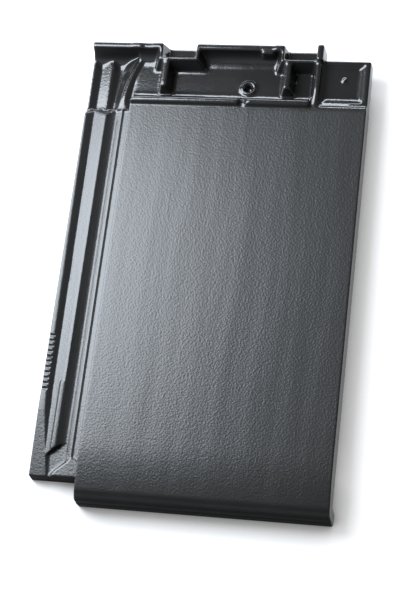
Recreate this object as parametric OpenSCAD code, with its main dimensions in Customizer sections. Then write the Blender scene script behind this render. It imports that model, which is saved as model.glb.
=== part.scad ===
// Flat interlocking clay roof tile: one pressed and fired piece, lying face up on a level floor.
// X runs across the tile, Y up the roof slope from the foot to the head, and Z out of the face.
// The origin is on the floor, below the middle of the tile.

/* [Overall size] */
// Width over everything
tile_w = 281; // [270:1:320]
// Length from the foot to the head
tile_l = 460; // [420:1:520]
// Height of the flat face above the floor
face_h = 30; // [28:0.5:36]
// Thickness of the clay under the flat face
clay_t = 10.5; // [8:0.5:12]
// How far the pressed sides of the face lean outwards towards the floor
side_lean = 1.5; // [0.5:0.1:2]

/* [Front lip] */
// Thickness of the lip that hangs down at the foot
lip_t = 13; // [9:0.5:18]
// How far the face falls before it turns down into the lip
front_fall = 3; // [0:0.5:5]
// Length of the face's fall
front_fall_l = 44; // [30:1:60]
// Radius where the face turns down into the lip
nose_r = 12; // [4:0.5:14]
// Radius inside the corner behind the lip
lip_fillet = 8; // [3:0.5:9]
// Radius of the lip's corners, seen from above
lip_corner_r = 2.5; // [1:0.5:8]
// Height of the drip band along the lip's edge
drip_h = 11; // [6:0.5:13.5]
// How far the drip band stands out in front of the lip
drip_out = 1.2; // [0.5:0.1:2]

/* [Side channel] */
// Width of the channel from the tile's edge to the face
channel_w = 48.5; // [46:0.5:56]
// Thickness of the clay under the grooves
channel_t = 12; // [10:0.5:13]
// Distance from the foot of the lip to the foot of the channel
channel_set_back = 23; // [16:1:40]
// How far the channel's end leans out towards the floor
channel_end_lean = 2; // [1:0.5:5]
// Width of the outer strip's top at the head
strip_w = 2; // [1.5:0.5:4]
// Height of the outer strip above the floor
strip_h = 16; // [14:0.5:18]
// How much the outer strip widens along its length
strip_taper = 3.5; // [1:0.5:5]
// How far the outer strip's end at the foot stands above the groove's floor
strip_end_up = 0.8; // [0.2:0.1:1]
// How much the outer strip widens near the foot
strip_flare = 5.5; // [3:0.5:7]
// Length of the wide end of the outer strip, over which it falls towards the foot
strip_flare_l = 82; // [50:1:120]
// Distance from the tile's edge to the outer groove's floor
groove_x = 9.1; // [8:0.2:10.5]
// Distance from the tile's edge to the middle rib
rib_x = 20.8; // [19:0.2:22]
// Width of the middle rib's top
rib_w = 2.4; // [1.5:0.1:3]
// Height of the middle rib above the floor
rib_h = 18; // [16:0.5:19]
// How much the middle rib's top falls towards the tile's edge
rib_top_fall = 0.5; // [0:0.1:1]
// Run of the middle rib's inner side
rib_lean = 3.8; // [2:0.2:4.5]
// Distance from the foot of the channel to the end of the middle rib
rib_end = 25; // [20:1:40]
// Slant of the middle rib's end, as length per width
rib_end_slant = 0.8; // [0:0.1:1.6]
// How much wider the middle rib's top is near the foot
rib_foot_w = 2.2; // [1:0.2:4]
// Length of the middle rib's wide foot
rib_foot_l = 66; // [40:1:90]
// Run of the wide foot's side
rib_foot_lean = 1.5; // [0.5:0.5:3]
// Width of the inner groove's floor
groove_w = 4.5; // [3:0.5:6]
// How much the inner groove's floor falls towards the face
groove_fall = 1.2; // [0:0.1:2]
// Height of the bench at its crest
bench_h = 13.8; // [12.5:0.1:14.5]
// How much the bench rises towards the face
bench_rise = 1.2; // [0:0.1:2]
// Width of the bench beside the face
bench_w = 10.5; // [8:0.5:11]
// Height of the crest at the bench's edge
crest_h = 1.4; // [0.5:0.1:3]
// Run of the slope under the tile between the face and the channel
haunch = 11; // [8:0.5:14]

/* [Channel foot] */
// How far the raised plate at the channel's foot sweeps across
sweep_w = 15.5; // [8:0.5:17]
// Length of the sweep at the channel's foot
sweep_l = 20; // [14:1:30]
// Length of the raised plate beside the face
plate_l = 11; // [6:1:14]
// Lean of the raised plate's side from upright, in degrees
sweep_lean = 46; // [15:1:50]

/* [Channel head] */
// Thickness of the clay under the grooves at the head
head_channel_t = 8; // [7:0.5:9]
// Height of the channel's ribs at the head, under the next tile's pocket
head_rib_h = 11.5; // [10.5:0.5:13]
// How far the middle rib steps outwards at the head
head_rib_shift = 2; // [0:0.5:3]
// Run of the ramp down to the ribs at the head
rib_ramp = 8; // [4:0.5:16]
// Height of the ridge between the trough and the channel, above the trough
ridge_up = 2; // [1:0.5:4]
// Run of the ramp from the bench up to the ridge
ridge_ramp = 16; // [10:1:24]
// Radius of the ridge's bend from the bench's crest towards the trough
ridge_bend = 128; // [100:2:160]
// Run of the ridge's side towards the channel
ridge_run = 13; // [8:0.5:14]

/* [Grip notches] */
// Number of notches in the outer strip
notch_count = 11; // [5:1:15]
// Spacing of the notches
notch_pitch = 5.2; // [4:0.1:7]
// Width of a notch
notch_w = 2.2; // [1.5:0.1:3]
// Length of a notch across the strip
notch_l = 6; // [3:0.5:8]
// Distance from the foot of the channel to the first notch
notch_start = 82; // [60:1:120]

/* [Head] */
// Distance from the head to the front of the bead
head_depth = 66; // [64:0.5:76]
// Width of the bead's top
bead_w = 4.5; // [3:0.5:6]
// Height of the bead above the face
bead_h = 4; // [2:0.5:5]
// Run of the bead's sloping sides
bead_lean = 2; // [1:0.5:3]
// Place of the gap in the bead, across from the middle of the tile
bead_gap_x = 16; // [0:1:30]
// Width of the gap in the bead
bead_gap_w = 9; // [5:0.5:12]
// Distance between the bead's right end and the land
bead_end = 3; // [1:0.5:6]
// Depth of the trough below the face
trough_depth = 14; // [11:0.5:16]
// Thickness of the clay under the trough
trough_t = 8.5; // [7:0.5:10]
// Radius of the trough's round corners
trough_r = 12; // [6:0.5:13]
// Height of the back wall above the face
wall_up = 2.5; // [2:0.5:5]
// Thickness of the back wall's top
wall_t = 6.5; // [5:0.5:8]
// Lean of the back wall's end at the tile's edge, as run
wall_end_lean = 3.5; // [1:0.5:5]
// Width of a pad on the back wall
pad_w = 10; // [6:0.5:12]
// Height of a pad above the back wall
pad_up = 0.8; // [0.4:0.1:1.5]
// Width of the low pad on the back wall's front
front_pad_w = 12; // [6:0.5:14]
// How far the low pad stands out of the back wall
front_pad_out = 3; // [1:0.5:5]
// Distance from the low pad to the right nib's block
front_pad_gap = 8; // [6:0.5:16]

/* [Land and post] */
// Distance from the tile's right edge to the land beside the trough
land_x = 53.5; // [50:0.5:58]
// Width of the land between the trough and the corner pocket
land_w = 5; // [4:0.5:8]
// Run of the land's side towards the trough
land_lean = 4; // [1:0.5:6]
// Run of the ramp from the face up to the land
land_ramp = 20; // [12:1:28]
// Width of the post at the land's end
post_w = 6.5; // [5:0.5:8]
// Height of the post above the face
post_up = 6; // [4:0.2:8]
// Length of the post
post_l = 17; // [12:1:22]

/* [Hanging nibs] */
// Distance between the two nibs
nib_spacing = 121; // [100:1:130]
// Place of the pair of nibs, across from the middle of the tile
nib_offset = 11.5; // [5:0.5:15]
// Width of the block over a nib
nib_w = 39; // [34:1:44]
// How far the block over a nib stands out in front of the back wall
nib_jog = 11.5; // [8:0.5:14]
// Slope of the block's sides, as run at its foot
nib_lean = 7; // [3:0.5:8]
// Slope of the block's front, as run at its foot
nib_front_lean = 5; // [3:0.5:7]
// Height of the ledge behind a nib's rim
ledge_h = 19.5; // [18:0.5:24]
// Clay beside the ledge, within the block's width
ledge_side = 2.5; // [2:0.5:5]
// Run of the slope at the ledge's right end
ledge_lean = 3; // [1:0.5:4]
// Run of the ramp at the left ledge's left end
left_ledge_ramp = 5.5; // [2:0.5:10]
// Run of the ramp at the right ledge's left end
right_ledge_ramp = 2.5; // [2:0.5:10]
// Thickness of the rim in front of the ledge
rim_t = 2.2; // [1.5:0.1:4]
// Run of the rim's back down to the ledge
rim_lean = 4; // [2:0.5:6]
// Length of a nib under the tile
nib_l = 16; // [12:1:18]
// Width of a nib under the tile
nib_foot_w = 28; // [20:1:34]

/* [Stacking fins] */
// Width of a fin's top
fin_w = 5.5; // [4:0.5:8]
// Length of a fin in front of the nib's block
fin_l = 28.5; // [20:0.5:30]
// Height of a fin above the face
fin_up = 1.5; // [0:0.5:3]
// Slope of a fin's sides, as run at its foot
fin_lean = 4.5; // [2:0.5:6]
// Distance from the middle of a nib to its fin, towards the channel
fin_x = 12; // [8:1:14]

/* [Nail seat] */
// Distance of the nail seat from the middle of the tile
nail_x = 21; // [10:0.5:30]
// Distance of the nail seat from the head
nail_y = 40; // [38:0.5:44]
// Diameter of the raised ring at its foot
nail_ring_d = 17; // [15:0.5:20]
// Diameter of the raised ring at its top
nail_ring_top_d = 13.5; // [12.5:0.5:14.5]
// Height of the raised ring above the trough
nail_ring_h = 2.6; // [1.5:0.1:4]
// Diameter of the dish around the bore
nail_dish_d = 12; // [9:0.5:12]
// Depth of the dish around the bore
nail_dish_h = 2.8; // [1:0.1:3]
// Diameter of the nail seat's bore
nail_d = 7; // [5:0.5:8]
// Clay left below the bore, to be knocked out for a nail
nail_skin = 3; // [2:0.5:5]

/* [Corner pocket] */
// Distance from the head to the back of the pocket's corner
pocket_set_back = 13.5; // [8:0.5:18]
// Depth of the pocket below the face
pocket_depth = 5.5; // [4.5:0.5:8]
// Thickness of the clay under the pocket
pocket_t = 8.7; // [7:0.1:10]
// How far the pocket's rim lies below the face
rim_drop = 2; // [1:0.5:3]
// Width of the pocket's rim at the side
pocket_side = 6; // [4:0.5:7]
// Width of the pocket's rim at the back
pocket_back = 3.5; // [2:0.5:6]
// Slope of the pocket's walls, as run
pocket_lean = 5.5; // [2:0.5:6]
// Run of the ramp from the face into the pocket
pocket_ramp = 11; // [6:0.5:14]
// How far the sill at the pocket's front reaches into it
sill_l = 6; // [2:0.5:8]
// Length of the sill from the pocket's rim at the side
sill_w = 22; // [14:1:26]
// Diameter of the pimple on the pocket's floor
pimple_d = 4.4; // [3:0.2:6]
// Distance of the pimple from the tile's right edge
pimple_x = 25.7; // [18:0.1:34]
// Distance of the pimple from the head
pimple_y = 32.8; // [28:0.1:40]

/* [Cover flange] */
// Side lap: how far a laid tile reaches over the next one's channel
side_lap = 46; // [44:0.5:47]
// Width of the flange that covers the next tile's bench
flange_w = 5.5; // [4:0.5:6]
// Height of the flange's edge above the floor
flange_h = 15.5; // [15.5:0.5:17]
// Width of a cover rib's foot
cover_rib_w = 3.5; // [2.5:0.5:4]
// Height of the cover ribs' feet above the floor
cover_rib_h = 13; // [12.5:0.5:15]

/* [Hidden] */
clay_colour = [0.24, 0.25, 0.26];
slack = 1;
arc_steps = 8;
round_steps = 64;

// Edges of the tile, its face and its channel
left = -tile_w / 2;
right = tile_w / 2;
foot = -tile_l / 2;
head = tile_l / 2;
face_left = left + channel_w;
under_h = face_h - clay_t;
joint_h = under_h + slack;
channel_foot = foot + channel_set_back;
outer_groove_x = left + groove_x;
middle_rib_x = left + rib_x;
inner_groove_x = middle_rib_x + rib_w + rib_lean;
bench_x = face_left - bench_w;
crest_top = bench_h + crest_h;

// Levels and lines at the head
bead_y = head - head_depth;
bead_back = bead_y + 2 * bead_lean + bead_w;
trough_h = face_h - trough_depth;
trough_under = trough_h - trough_t;
wall_top = face_h + wall_up;
wall_y = head - wall_t;
land_left = right - land_x;
land_right = land_left + land_w;
block_y = wall_y - nib_jog;
nib_places = [nib_offset - nib_spacing / 2, nib_offset + nib_spacing / 2];
pad_places = [face_left, for (x = nib_places) x - nib_w / 2 - ledge_side];
pocket_h = face_h - pocket_depth;
pocket_under = pocket_h - pocket_t;
pocket_y = head - pocket_set_back;
pocket_front = bead_y + bead_lean;
rim_h = face_h - rim_drop;

// The next tile's grooves, where this tile's cover ribs hang
next_tile = right - side_lap;
cover_rib_places = [next_tile + groove_x, next_tile + rib_x + rib_w + rib_lean + groove_w / 2];

// An arc about a centre, from one angle to another, as points
function arc(centre, r, from, to) =
    [for (i = [0 : arc_steps]) let (a = from + (to - from) * i / arc_steps)
        centre + r * [cos(a), sin(a)]];

// An S-shaped curve that leaves one point and reaches another along Y, as points
function s_curve(from, to) =
    [for (i = [0 : 2 * arc_steps]) let (t = i / (2 * arc_steps))
        [from.x + (to.x - from.x) * (1 - cos(180 * t)) / 2, from.y + (to.y - from.y) * t]];

// An S-shaped curve that leaves one point and reaches another along X, as points
function level_s_curve(from, to) =
    [for (p = s_curve([from.y, from.x], [to.y, to.x])) [p.y, p.x]];

// Place across the tile of the face's leaning left side, at a height
function side_x(h) = face_left - side_lean * (1 - h / face_h);

// An outline in Y and Z, drawn out along X
module along_x(from, to) {
    translate([from, 0, 0]) rotate([90, 0, 90]) linear_extrude(to - from) children();
}

// An outline in X and Z, drawn out along Y
module along_y(from, to) {
    translate([0, to, 0]) rotate([90, 0, 0]) linear_extrude(to - from) children();
}

// A plan outline at a level, whose sides lean by an angle in X on their way down to the floor
module leaning(points, pivot, level, angle) {
    intersection() {
        translate([pivot, 0, level]) rotate([0, angle, 0])
            linear_extrude(4 * level, center = true)
                polygon([for (p = points) [(p.x - pivot) * cos(angle), p.y]]);
        translate([left, foot, 0]) cube([tile_w, tile_l, level]);
    }
}

// What the right side's lean takes off above the flange's edge
module side_cut() {
    along_y(foot - slack, head + slack) polygon([
        [right, flange_h], [right + slack, flange_h], [right + slack, face_h + slack],
        [right - side_lean, face_h + slack], [right - side_lean, face_h]]);
}

// The flat face with its lip, from a section along the tile and the lip's outline from above
module face_plate() {
    start = face_left - side_lean;
    nose_y = foot + drip_out;
    turn = atan(2 * front_fall / front_fall_l);
    fall_end = [nose_y + nose_r * (1 - sin(turn)), face_h - front_fall];
    difference() {
        intersection() {
            along_x(start, right) {
                polygon(concat(
                    [[pocket_front, under_h], [pocket_front, face_h]],
                    [for (i = [0 : arc_steps - 1]) let (t = i / arc_steps)
                        fall_end + [front_fall_l * (1 - t), front_fall * (1 - t * t)]],
                    arc([nose_y + nose_r, fall_end.y - nose_r * cos(turn)], nose_r, 90 + turn, 180),
                    [[nose_y, 0], [foot + lip_t, 0]],
                    arc([foot + lip_t + lip_fillet, under_h - lip_fillet], lip_fillet, 180, 90)));
                polygon([
                    [foot, 0], [foot, drip_h], [foot + drip_out, drip_h + drip_out],
                    [foot + lip_t, drip_h + drip_out], [foot + lip_t, 0]]);
            }
            linear_extrude(face_h) polygon(concat(
                [[start, head]],
                arc([start + lip_corner_r, foot + lip_corner_r], lip_corner_r, 180, 270),
                arc([right - lip_corner_r, foot + lip_corner_r], lip_corner_r, 270, 360),
                [[right, head]]));
        }
        along_y(foot - slack, head + slack) polygon([
            [start - slack, -slack], [start, 0], [face_left, face_h], [start - slack, face_h]]);
        side_cut();
    }
}

// The flange along the right side and the ribs beside it, which cover the next tile's channel
module cover() {
    difference() {
        translate([right - flange_w, foot + lip_t / 2, flange_h])
            cube([flange_w, pocket_y - foot - lip_t / 2, under_h - flange_h + slack]);
        side_cut();
    }
    for (x = cover_rib_places)
        along_y(channel_foot + rib_end + lip_t, bead_y - slack) polygon([
            [x - cover_rib_w / 2, cover_rib_h], [x + cover_rib_w / 2, cover_rib_h],
            [x + cover_rib_w, under_h + slack], [x - cover_rib_w, under_h + slack]]);
}

// The water channel beside the face: an outer strip, two grooves, a rib and a bench
module side_channel() {
    end_y = channel_foot - channel_end_lean;
    strip_angle = atan((groove_x - strip_w) / (strip_h - channel_t));
    difference() {
        union() {
            difference() {
                along_y(end_y, bead_y + slack) polygon([
                    [left, 0], [left, strip_h], [left + strip_w, strip_h], [outer_groove_x, channel_t],
                    [middle_rib_x, rib_h - rib_top_fall], [middle_rib_x + rib_w, rib_h],
                    [inner_groove_x, channel_t + groove_fall], [inner_groove_x + groove_w, channel_t],
                    [bench_x, crest_top], [bench_x + crest_h, bench_h],
                    [side_x(bench_h + bench_rise), bench_h + bench_rise],
                    [side_x(joint_h), joint_h], [face_left + clay_t, joint_h],
                    [face_left + clay_t, under_h], [face_left + haunch / 2, under_h],
                    [face_left - haunch / 2, 0]]);
                rib_end_cut();
                strip_end_cut(outer_groove_x);
            }
            rib_foot();
            // The outer strip's widening towards the foot
            difference() {
                leaning([
                    [left, bead_y], [left + strip_w, bead_y],
                    [left + strip_w + strip_taper, channel_foot + strip_flare_l],
                    [left + strip_w + strip_taper + strip_flare, channel_foot], [left, end_y]],
                    left, strip_h, -strip_angle);
                strip_end_cut(middle_rib_x);
            }
            // The raised plate that sweeps across the foot
            leaning(concat(
                s_curve([bench_x, channel_foot + sweep_l], [bench_x - sweep_w, channel_foot]),
                [[bench_x - sweep_w, end_y], [face_left, end_y], [face_left, channel_foot + plate_l]]),
                bench_x, crest_top, sweep_lean);
        }
        notches();
        // The leaning end face at the foot
        along_x(left - slack, face_left - side_lean) polygon([
            [end_y - slack, 0], [end_y, 0], [channel_foot, strip_h], [end_y - slack, strip_h]]);
        // The ramp down to the lower ribs at the head
        along_x(left - slack, inner_groove_x) polygon([
            [bead_y - rib_ramp, rib_h + slack], [bead_y, head_rib_h],
            [bead_y + 2 * slack, head_rib_h], [bead_y + 2 * slack, rib_h + slack]]);
    }
}

// What lets the outer strip fall towards the foot, as far across as a given place
module strip_end_cut(to) {
    along_x(left - slack, to) polygon([
        [channel_foot - channel_end_lean - slack, channel_t + strip_end_up],
        [channel_foot, channel_t + strip_end_up], [channel_foot + strip_flare_l, strip_h + slack],
        [channel_foot - channel_end_lean - slack, strip_h + slack]]);
}

// What ends the middle rib near the foot, where both grooves run together
module rib_end_cut() {
    outer = outer_groove_x - middle_rib_x;
    inner = inner_groove_x + groove_w - middle_rib_x;
    translate([middle_rib_x, channel_foot, channel_t]) linear_extrude(rib_h) polygon([
        [outer, -channel_end_lean - slack], [outer, max(0, rib_end + outer * rib_end_slant)],
        [inner, rib_end + inner * rib_end_slant], [inner, -channel_end_lean - slack]]);
}

// The middle rib's wide foot
module rib_foot() {
    start = channel_foot + rib_end;
    wide = middle_rib_x - rib_foot_w;
    intersection() {
        along_y(start - rib_foot_w * rib_end_slant, start + rib_foot_l) polygon([
            [wide - rib_foot_lean, channel_t + crest_h], [wide, rib_h], [middle_rib_x + rib_w / 2, rib_h],
            [middle_rib_x + rib_w / 2, channel_t + crest_h]]);
        translate([middle_rib_x, start, 0]) linear_extrude(rib_h) polygon([
            [-rib_foot_w - rib_foot_lean, -(rib_foot_w + rib_foot_lean) * rib_end_slant],
            [rib_w, rib_w * rib_end_slant], [rib_w, rib_foot_l],
            [-rib_foot_w - rib_foot_lean, rib_foot_l - rib_foot_w]]);
    }
}

// The row of grip notches in the outer strip
module notches() {
    for (i = [0 : notch_count - 1])
        translate([left - slack, channel_foot + notch_start + i * notch_pitch, strip_h])
            rotate([45, 0, 0]) translate([0, -notch_w / 2, -notch_w / 2])
                cube([notch_l + slack, notch_w, notch_w]);
}

// The channel at the head: low ribs under the next tile's pocket, and the ridge beside the trough
module channel_head() {
    rib = middle_rib_x - head_rib_shift;
    ridge_h = trough_h + ridge_up;
    ridge_turn = asin((wall_y - bead_y) / ridge_bend);
    along_y(bead_y, head) polygon([
        [left, 0], [left, head_rib_h], [left + strip_w, head_rib_h], [outer_groove_x, head_channel_t],
        [rib, head_rib_h], [rib + rib_w, head_rib_h], [inner_groove_x, head_channel_t],
        [inner_groove_x + groove_w, head_channel_t], [bench_x, head_rib_h], [face_left, trough_h],
        [face_left + clay_t, trough_h], [face_left + clay_t, trough_under], [face_left, trough_under],
        [face_left - haunch / 2, 0]]);
    difference() {
        translate([bench_x + ridge_bend, bead_y, 0]) rotate([0, 0, 180 - ridge_turn])
            rotate_extrude(angle = ridge_turn, $fn = 4 * round_steps) polygon(concat(
                level_s_curve([ridge_bend + ridge_run, head_channel_t], [ridge_bend, ridge_h]),
                level_s_curve([ridge_bend, ridge_h], [ridge_bend - ridge_run / 2, trough_h - slack]),
                [[ridge_bend - ridge_run / 2, trough_under + slack],
                    [ridge_bend + ridge_run, head_channel_t - slack]]));
        along_x(left, face_left + clay_t) polygon([
            [bead_y - slack, crest_top], [bead_y + ridge_ramp, ridge_h + slack],
            [bead_y - slack, ridge_h + slack]]);
    }
}

// The round-bottomed hollow of the trough, between the bead, the back wall and the land
module trough_cut() {
    top = wall_top + slack;
    intersection() {
        along_x(face_left - slack, land_left + slack) polygon(concat(
            [[bead_back, top]],
            arc([bead_back + trough_r, trough_h + trough_r], trough_r, 180, 270),
            arc([wall_y - trough_r, trough_h + trough_r], trough_r, 270, 360),
            [[wall_y, top]]));
        along_y(bead_y, head) polygon([
            [face_left - slack, trough_h], [land_left - land_lean, trough_h],
            [land_left, wall_top], [land_left, top], [face_left - slack, top]]);
        translate([0, 0, trough_h]) linear_extrude(top - trough_h) polygon(concat(
            [[face_left - slack, head], [face_left - slack, bead_back]],
            arc([land_left - trough_r, bead_back + trough_r], trough_r, 270, 360),
            [[land_left, head]]));
    }
}

// What rounds the bead's left end, seen from above, down to the trough's floor
module bead_corner_cut() {
    r = bead_back - bead_y;
    translate([0, 0, trough_h]) linear_extrude(trough_depth + bead_h + slack) polygon(concat(
        [[face_left - slack, bead_y]],
        arc([face_left + r, bead_y], r, 180, 90),
        [[face_left + r, bead_back + slack], [face_left - slack, bead_back + slack]]));
}

// The head between the channel and the corner: bead, trough and land
module head_block() {
    difference() {
        union() {
            along_x(face_left, land_right) polygon([
                [bead_y - haunch, under_h], [bead_y - haunch, face_h], [head, face_h],
                [head, trough_under], [bead_y, trough_under]]);
            along_x(face_left, land_left - bead_end) polygon([
                [bead_y, face_h - slack], [bead_y, face_h], [bead_y + bead_lean, face_h + bead_h],
                [bead_y + bead_lean + bead_w, face_h + bead_h], [bead_back, face_h],
                [bead_back, face_h - slack]]);
            along_x(land_left, land_right) polygon([
                [bead_y, face_h - slack], [bead_y, face_h], [bead_y + land_ramp, wall_top],
                [head, wall_top], [head, face_h - slack]]);
        }
        trough_cut();
        bead_corner_cut();
        along_y(bead_y - slack, bead_back + slack) polygon([
            [bead_gap_x, face_h], [bead_gap_x + bead_gap_w / 2, face_h],
            [bead_gap_x + bead_gap_w, face_h + bead_h + slack], [bead_gap_x, face_h + bead_h + slack]]);
    }
}

// The back wall across the channel and the trough, with its pads and the post at its end
module back_wall() {
    difference() {
        along_x(left, face_left) polygon(concat(
            [[wall_y - trough_r, 0]],
            arc([wall_y - trough_r, head_channel_t + trough_r], trough_r, 270, 360),
            [[wall_y, wall_top], [head, wall_top], [head, 0]]));
        along_y(bead_y, head + slack) polygon([
            [left - slack, head_rib_h], [left, head_rib_h], [left + wall_end_lean, wall_top + slack],
            [left - slack, wall_top + slack]]);
    }
    translate([face_left - slack, wall_y, trough_h])
        cube([land_left - face_left + slack, wall_t, wall_top - trough_h]);
    for (x = pad_places)
        translate([x - pad_w / 2, wall_y, trough_h]) cube([pad_w, wall_t, wall_top + pad_up - trough_h]);
    translate([nib_places[1] - nib_w / 2 - front_pad_gap - front_pad_w, wall_y - front_pad_out, trough_h])
        cube([front_pad_w, front_pad_out + slack, wall_top - pad_up - trough_h]);
    along_y(head - post_l, head) polygon([
        [land_left, face_h], [land_left, face_h + post_up], [land_left + post_w, face_h + post_up],
        [land_left + post_w + side_lean, pocket_under], [land_right - slack, pocket_under]]);
}

// The block over a nib, standing out in front of the back wall
module nib_block(x) {
    half = nib_w / 2;
    base = trough_h - slack;
    intersection() {
        along_x(x - half - nib_lean, min(x + half + nib_lean, land_right)) polygon([
            [block_y - nib_front_lean, base], [block_y, wall_top], [head, wall_top], [head, base]]);
        along_y(block_y - nib_front_lean, head) polygon([
            [x - half - nib_lean, base], [x - half, wall_top], [x + half, wall_top],
            [x + half + nib_lean, base]]);
    }
}

// The hollow behind a nib's rim, with a ramp on its left
module ledge_cut(x, ramp) {
    half = nib_w / 2 - ledge_side;
    rim_y = block_y + rim_t;
    top = wall_top + pad_up + slack;
    intersection() {
        along_x(x - half, min(x + half, land_left)) polygon([
            [rim_y, top], [rim_y, wall_top], [rim_y + rim_lean, ledge_h],
            [head + slack, ledge_h], [head + slack, top]]);
        along_y(rim_y, head + slack) polygon([
            [x - half, wall_top], [x - half + ramp, ledge_h], [x + half - ledge_lean, ledge_h],
            [x + half, wall_top], [x + half, top], [x - half, top]]);
    }
}

// A stacking fin in front of a nib's block
module fin(x) {
    half = fin_w / 2;
    base = trough_h - slack;
    top = face_h + fin_up;
    intersection() {
        along_y(block_y - fin_l - fin_lean, block_y + slack) polygon([
            [x - half - fin_lean, base], [x - half, top], [x + half, top], [x + half + fin_lean, base]]);
        along_x(x - half - fin_lean, x + half + fin_lean) polygon([
            [block_y - fin_l - side_lean, base], [block_y - fin_l, top],
            [block_y + slack, top], [block_y + slack, base]]);
    }
}

// A nib under the head, which hangs behind the batten
module nib(x) {
    translate([x - nib_foot_w / 2, head - nib_l - side_lean, 0])
        cube([nib_foot_w, nib_l, trough_under + slack]);
}

// The raised ring around the nail seat
module nail_ring() {
    ring_slope = (nail_ring_d - nail_ring_top_d) / nail_ring_h;
    translate([nail_x, head - nail_y, trough_h - slack])
        cylinder(h = nail_ring_h + slack, d1 = nail_ring_d + slack * ring_slope, d2 = nail_ring_top_d,
            $fn = round_steps);
}

// The nail seat's blind bore and the dish around its mouth
module nail_bore() {
    mouth = trough_h + nail_ring_h;
    dish_slope = (nail_dish_d - nail_d) / nail_dish_h;
    translate([nail_x, head - nail_y, trough_under + nail_skin])
        cylinder(h = mouth - trough_under - nail_skin, d = nail_d, $fn = round_steps);
    translate([nail_x, head - nail_y, mouth - nail_dish_h])
        cylinder(h = nail_dish_h + slack, d1 = nail_d, d2 = nail_dish_d + slack * dish_slope,
            $fn = round_steps);
}

// The shallow hollow in the tile's top right corner, with a sill at its front
module pocket_cut() {
    side = right - pocket_side;
    sill_x = side - sill_w;
    difference() {
        intersection() {
            along_x(land_right, side) polygon([
                [pocket_front, wall_top + slack], [pocket_front, face_h],
                [pocket_front + pocket_ramp, pocket_h],
                [pocket_y - pocket_back - pocket_lean / 2, pocket_h], [pocket_y - pocket_back, rim_h],
                [pocket_y - pocket_back, wall_top + slack]]);
            along_y(bead_y, pocket_y) polygon([
                [land_right, face_h], [land_right + pocket_lean, pocket_h],
                [side - pocket_lean, pocket_h], [side, rim_h], [side, wall_top + slack],
                [land_right, wall_top + slack]]);
        }
        translate([0, 0, pocket_h - slack]) linear_extrude(pocket_depth + slack) polygon(concat(
            level_s_curve([sill_x, pocket_front], [sill_x + 2 * sill_l, pocket_front + sill_l]),
            [[side, pocket_front + sill_l], [side, pocket_front]]));
    }
}

// The top right corner of the tile: the plate over the next tile's channel, with its pocket
module corner_plate() {
    difference() {
        intersection() {
            along_x(land_right - slack, right) polygon([
                [bead_y - haunch, under_h], [bead_y - haunch, face_h], [pocket_front, face_h],
                [pocket_front + rim_drop, rim_h], [pocket_y, rim_h], [pocket_y, pocket_under],
                [bead_y - haunch / 2, pocket_under]]);
            along_y(bead_y - haunch, pocket_y) polygon([
                [land_right - slack, pocket_under], [right - bench_w - pocket_side, pocket_under],
                [right - bench_w, flange_h + crest_h], [right, flange_h + crest_h],
                [right, face_h], [land_right - slack, face_h]]);
        }
        side_cut();
        pocket_cut();
    }
    translate([right - pimple_x, head - pimple_y, pocket_h])
        sphere(d = pimple_d, $fn = round_steps);
}

// The whole tile, one fired piece
module roof_tile() {
    color(clay_colour) difference() {
        union() {
            difference() {
                union() {
                    face_plate();
                    side_channel();
                    channel_head();
                    head_block();
                    back_wall();
                    for (x = nib_places) nib_block(x);
                }
                ledge_cut(nib_places[0], left_ledge_ramp);
                ledge_cut(nib_places[1], right_ledge_ramp);
            }
            for (x = nib_places) fin(x - fin_x);
            for (x = nib_places) nib(x);
            nail_ring();
            corner_plate();
            cover();
        }
        nail_bore();
    }
}

roof_tile();
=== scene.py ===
import bmesh
import bpy
from mathutils import Matrix, Quaternion, Vector


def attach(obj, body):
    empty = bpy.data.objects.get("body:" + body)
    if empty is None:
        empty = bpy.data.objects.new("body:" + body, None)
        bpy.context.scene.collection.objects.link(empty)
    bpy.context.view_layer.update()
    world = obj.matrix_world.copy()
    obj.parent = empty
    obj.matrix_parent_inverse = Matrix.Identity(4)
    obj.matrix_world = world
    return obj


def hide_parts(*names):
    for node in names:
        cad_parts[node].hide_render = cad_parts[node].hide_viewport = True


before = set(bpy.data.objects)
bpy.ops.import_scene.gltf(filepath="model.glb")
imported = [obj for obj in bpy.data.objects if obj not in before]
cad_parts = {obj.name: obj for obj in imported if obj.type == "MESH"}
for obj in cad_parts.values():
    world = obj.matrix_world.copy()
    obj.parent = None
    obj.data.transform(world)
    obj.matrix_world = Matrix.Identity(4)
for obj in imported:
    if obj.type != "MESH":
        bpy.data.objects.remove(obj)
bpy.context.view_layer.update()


# Pressed tile: one plate of clay, pressed between two moulds, coated with a dark engobe and fired.
# The press and the coat leave every edge and inner corner softly rounded, most of all at the head. A
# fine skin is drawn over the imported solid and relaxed, then thinned, with the fine skin's shading.
SKIN_STEP = 0.0007
SKIN_RELAX = 0.5
SKIN_ROUNDS = 8
HEAD_LINE = 0.164
HEAD_ROUNDS = 30
TILE_TRIANGLES = 190000
WELD = 0.00001


def plain_mesh(piece, name):
    """The mesh that a piece's modifiers make, as a plain mesh of its own."""
    bpy.context.view_layer.update()
    made = piece.evaluated_get(bpy.context.evaluated_depsgraph_get())
    mesh = bpy.data.meshes.new_from_object(made)
    mesh.name = name
    return mesh


def shaped(piece, kind, **settings):
    """Applies one modifier to a piece."""
    modifier = piece.modifiers.new(kind.lower(), kind)
    for key, value in settings.items():
        setattr(modifier, key, value)
    mesh = plain_mesh(piece, piece.name)
    piece.modifiers.clear()
    piece.data = mesh


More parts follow.
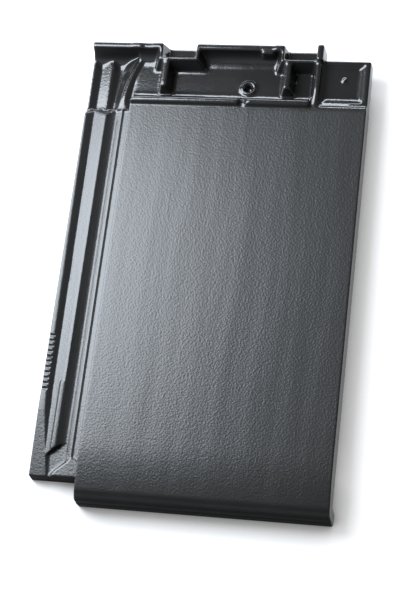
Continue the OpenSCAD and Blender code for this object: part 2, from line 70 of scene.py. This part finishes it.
welded = bmesh.new()
welded.from_mesh(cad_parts["roof_tile"].data)
bmesh.ops.remove_doubles(welded, verts=welded.verts, dist=WELD)
skin = bpy.data.meshes.new("pressed_tile")
welded.to_mesh(skin)
welded.free()
tile = bpy.data.objects.new("pressed_tile", skin)
bpy.context.scene.collection.objects.link(tile)
shaped(tile, "REMESH", mode="VOXEL", voxel_size=SKIN_STEP, use_smooth_shade=True)
shaped(tile, "SMOOTH", factor=SKIN_RELAX, iterations=SKIN_ROUNDS)
head = tile.vertex_groups.new(name="head")
head.add([point.index for point in tile.data.vertices if point.co.y > HEAD_LINE], 1.0, "REPLACE")
shaped(tile, "SMOOTH", factor=SKIN_RELAX, iterations=HEAD_ROUNDS, vertex_group="head")
fine_skin = bpy.data.objects.new("fine_skin", tile.data.copy())
bpy.context.scene.collection.objects.link(fine_skin)
triangles = sum(len(face.vertices) - 2 for face in tile.data.polygons)
shaped(tile, "DECIMATE", ratio=TILE_TRIANGLES / triangles)
tile.data.polygons.foreach_set("use_smooth", [True] * len(tile.data.polygons))
shaped(tile, "DATA_TRANSFER", object=fine_skin, use_loop_data=True, data_types_loops={"CUSTOM_NORMAL"},
       loop_mapping="POLYINTERP_NEAREST")
bpy.data.objects.remove(fine_skin)


# Engobe: a thin coat of coloured slip, fired to a dark satin grey. It covers the whole tile.
# On the flat face and the channel it dries to a fine peel with faint streaks along the tile, and at the
# head it lies smoother. On the sides that face the foot it is made matt and its shine is turned down, a
# painted shade that darkens those sides.
ENGOBE_DARK = (0.014, 0.014, 0.014, 1.0)
ENGOBE_LIGHT = (0.026, 0.026, 0.026, 1.0)
CLOUD_SCALE = 24.0
CLOUD_DETAIL = 4.0
ENGOBE_IOR = 1.8
FACE_ROUGHNESS = 0.33
HEAD_ROUGHNESS = 0.15
HEAD_BLEND = 0.004
MATT_ROUGHNESS = 0.95
FACE_SHINE = 0.5
# Painted shade: the low shine on the sides that face the foot.
PAINTED_SHADE_SHINE = 0.15
MATT_FROM = -0.4
MATT_FULL = -0.9
PEEL_SCALE = 560.0
PEEL_DEPTH = 0.00013
HEAD_PEEL = 0.4
STREAK_SCALE = (45.0, 5.0, 5.0)
STREAK_DEPTH = 0.00034


def put(tree, kind, inputs=None, **settings):
    """Adds a node with its settings and its inputs, each a value or another node's output."""
    node = tree.nodes.new(kind)
    for key, value in settings.items():
        setattr(node, key, value)
    for key, value in (inputs or {}).items():
        named = [socket for socket in node.inputs if socket.identifier == key]
        target = named[0] if named else node.inputs[key]
        if isinstance(value, bpy.types.NodeSocket):
            tree.links.new(value, target)
        else:
            target.default_value = value
    return node


engobe = bpy.data.materials.new("satin_engobe")
engobe.use_nodes = True
tree = engobe.node_tree
tree.nodes.clear()
coordinates = put(tree, "ShaderNodeTexCoord")
place = coordinates.outputs["Object"]
axes = put(tree, "ShaderNodeSeparateXYZ", {"Vector": place})
at_head = put(tree, "ShaderNodeMapRange", {
    "Value": axes.outputs["Y"],
    "From Min": HEAD_LINE - HEAD_BLEND, "From Max": HEAD_LINE + HEAD_BLEND})
clouds = put(tree, "ShaderNodeTexNoise", {
    "Vector": place, "Scale": CLOUD_SCALE, "Detail": CLOUD_DETAIL})
coat = put(tree, "ShaderNodeMix", {
    "Factor_Float": clouds.outputs["Fac"], "A_Color": ENGOBE_DARK, "B_Color": ENGOBE_LIGHT},
    data_type="RGBA").outputs[2]
satin = put(tree, "ShaderNodeMapRange", {
    "Value": at_head.outputs["Result"], "To Min": FACE_ROUGHNESS, "To Max": HEAD_ROUGHNESS})
facing = put(tree, "ShaderNodeSeparateXYZ", {"Vector": coordinates.outputs["Normal"]})
gloss = put(tree, "ShaderNodeMapRange", {
    "Value": facing.outputs["Y"], "From Min": MATT_FROM, "From Max": MATT_FULL,
    "To Min": satin.outputs["Result"], "To Max": MATT_ROUGHNESS})
# Painted shade: less shine on the sides that face the foot, so they render darker.
shine_with_painted_shade = put(tree, "ShaderNodeMapRange", {
    "Value": facing.outputs["Y"], "From Min": MATT_FROM, "From Max": MATT_FULL,
    "To Min": FACE_SHINE, "To Max": PAINTED_SHADE_SHINE})
peel = put(tree, "ShaderNodeTexNoise", {"Vector": place, "Scale": PEEL_SCALE, "Detail": 0.0})
peel_depth = put(tree, "ShaderNodeMapRange", {
    "Value": at_head.outputs["Result"], "To Min": 1.0, "To Max": HEAD_PEEL})
stretched = put(tree, "ShaderNodeMapping", {"Vector": place, "Scale": STREAK_SCALE})
streaks = put(tree, "ShaderNodeTexNoise", {
    "Vector": stretched.outputs["Vector"], "Scale": 1.0, "Detail": 1.0})
waves = put(tree, "ShaderNodeBump", {"Distance": STREAK_DEPTH, "Height": streaks.outputs["Fac"]})
relief = put(tree, "ShaderNodeBump", {
    "Strength": peel_depth.outputs["Result"], "Distance": PEEL_DEPTH, "Height": peel.outputs["Fac"],
    "Normal": waves.outputs["Normal"]})
surface = put(tree, "ShaderNodeBsdfPrincipled", {
    "Base Color": coat, "Roughness": gloss.outputs["Result"], "IOR": ENGOBE_IOR,
    "Specular IOR Level": shine_with_painted_shade.outputs["Result"], "Normal": relief.outputs["Normal"]})
put(tree, "ShaderNodeOutputMaterial", {"Surface": surface.outputs["BSDF"]})
tile.data.materials.clear()
tile.data.materials.append(engobe)
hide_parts("roof_tile")
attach(tile, "root")


# Floor: a plain sheet of white paper that the tile lies on. It shows white to the camera and in
# reflections, and keeps the tile's shadow. Close to the tile, ambient occlusion dims that white, a
# painted shadow that makes the shadow darkest there.
FLOOR_SIZE = 12.0
FLOOR_COLOUR = (0.9, 0.9, 0.9, 1.0)
FLOOR_LIFT = 0.7
# Painted shadow: how far from the tile and how strongly the floor's white is dimmed.
PAINTED_SHADOW_REACH = 0.03
PAINTED_SHADOW_DEPTH = 2.0
floor_mesh = bpy.data.meshes.new("floor")
half = FLOOR_SIZE / 2
floor_mesh.from_pydata(
    [(-half, -half, 0.0), (half, -half, 0.0), (half, half, 0.0), (-half, half, 0.0)], [], [(0, 1, 2, 3)])
floor = bpy.data.objects.new("floor", floor_mesh)
bpy.context.scene.collection.objects.link(floor)
paper = bpy.data.materials.new("white_paper")
paper.use_nodes = True
tree = paper.node_tree
tree.nodes.clear()
rays = put(tree, "ShaderNodeLightPath")
seen_or_mirrored = put(tree, "ShaderNodeMath", {
    0: rays.outputs["Is Camera Ray"], 1: rays.outputs["Is Glossy Ray"]}, operation="ADD")
shown = put(tree, "ShaderNodeMath", {
    0: seen_or_mirrored.outputs["Value"], 1: rays.outputs["Is Transmission Ray"]},
    operation="ADD", use_clamp=True)
lift = put(tree, "ShaderNodeMath", {0: shown.outputs["Value"], 1: FLOOR_LIFT}, operation="MULTIPLY")
# Painted shadow: ambient occlusion dims the floor's white near the tile.
openness = put(tree, "ShaderNodeAmbientOcclusion", {"Distance": PAINTED_SHADOW_REACH})
painted_contact_shadow = put(tree, "ShaderNodeGamma", {"Color": openness.outputs["Color"], "Gamma": PAINTED_SHADOW_DEPTH})
white = put(tree, "ShaderNodeEmission", {
    "Color": painted_contact_shadow.outputs["Color"], "Strength": lift.outputs["Value"]})
matt = put(tree, "ShaderNodeBsdfDiffuse", {"Color": FLOOR_COLOUR})
both = put(tree, "ShaderNodeAddShader", {0: matt.outputs["BSDF"], 1: white.outputs["Emission"]})
put(tree, "ShaderNodeOutputMaterial", {"Surface": both.outputs["Shader"]})
floor_mesh.materials.append(paper)


# Studio light: a tall softbox beside the channel that leans over the tile, and a long low one behind
# the head that lights the edges there. Both are a cool white, in a dim and slightly warm room.
LIGHT_AIM = Vector((0.0, 0.0, 0.02))
SIDE_PLACE = Vector((-0.579, 0.25, 0.561))
SIDE_SIZE = (0.55, 0.97)
SIDE_TURN = 0.29
SIDE_POWER = 13.6
BACK_PLACE = Vector((-0.3, 1.2, 0.55))
BACK_SIZE = (1.6, 0.3)
BACK_POWER = 11.0
LAMP_COLOUR = (0.85, 0.92, 1.0)
ROOM_COLOUR = (1.0, 0.97, 0.94, 1.0)
ROOM_STRENGTH = 0.09


def softbox(name, at, turn, size, power):
    """A rectangular lamp that faces the tile."""
    lamp = bpy.data.lights.new(name, "AREA")
    lamp.shape = "RECTANGLE"
    lamp.size, lamp.size_y = size
    lamp.energy = power
    lamp.color = LAMP_COLOUR
    box = bpy.data.objects.new(name, lamp)
    box.location = at
    aim = (LIGHT_AIM - at).to_track_quat("-Z", "Y")
    box.rotation_euler = (aim @ Quaternion((0.0, 0.0, 1.0), turn)).to_euler()
    bpy.context.scene.collection.objects.link(box)


softbox("side_softbox", SIDE_PLACE, SIDE_TURN, SIDE_SIZE, SIDE_POWER)
softbox("back_softbox", BACK_PLACE, 0.0, BACK_SIZE, BACK_POWER)
room = bpy.data.worlds.new("room")
room.use_nodes = True
room.node_tree.nodes["Background"].inputs["Color"].default_value = ROOM_COLOUR
room.node_tree.nodes["Background"].inputs["Strength"].default_value = ROOM_STRENGTH
bpy.context.scene.world = room


# Camera: high above the foot and a little to the right, with a long lens and a slight roll.
# Its place and turn were fitted to the corners of the tile's outline in the photograph.
CAMERA_PLACE = Vector((0.30862, -0.52401, 1.40852))
LENS = 99.2
SENSOR = 36.0
CAMERA_RIGHT = Vector((0.9781, 0.1173, -0.1718))
CAMERA_UP = Vector((-0.0513, 0.9364, 0.3472))
CAMERA_BACK = Vector((0.2016, -0.3308, 0.9219))
lens = bpy.data.cameras.new("camera")
lens.sensor_fit = "VERTICAL"
lens.sensor_height = SENSOR
lens.lens = LENS
camera = bpy.data.objects.new("camera", lens)
turn = Matrix((CAMERA_RIGHT, CAMERA_UP, CAMERA_BACK)).transposed().to_quaternion()
camera.rotation_mode = "QUATERNION"
camera.rotation_quaternion = turn.normalized()
camera.location = CAMERA_PLACE
bpy.context.scene.collection.objects.link(camera)
bpy.context.scene.camera = camera
bpy.context.scene.view_settings.view_transform = "Standard"
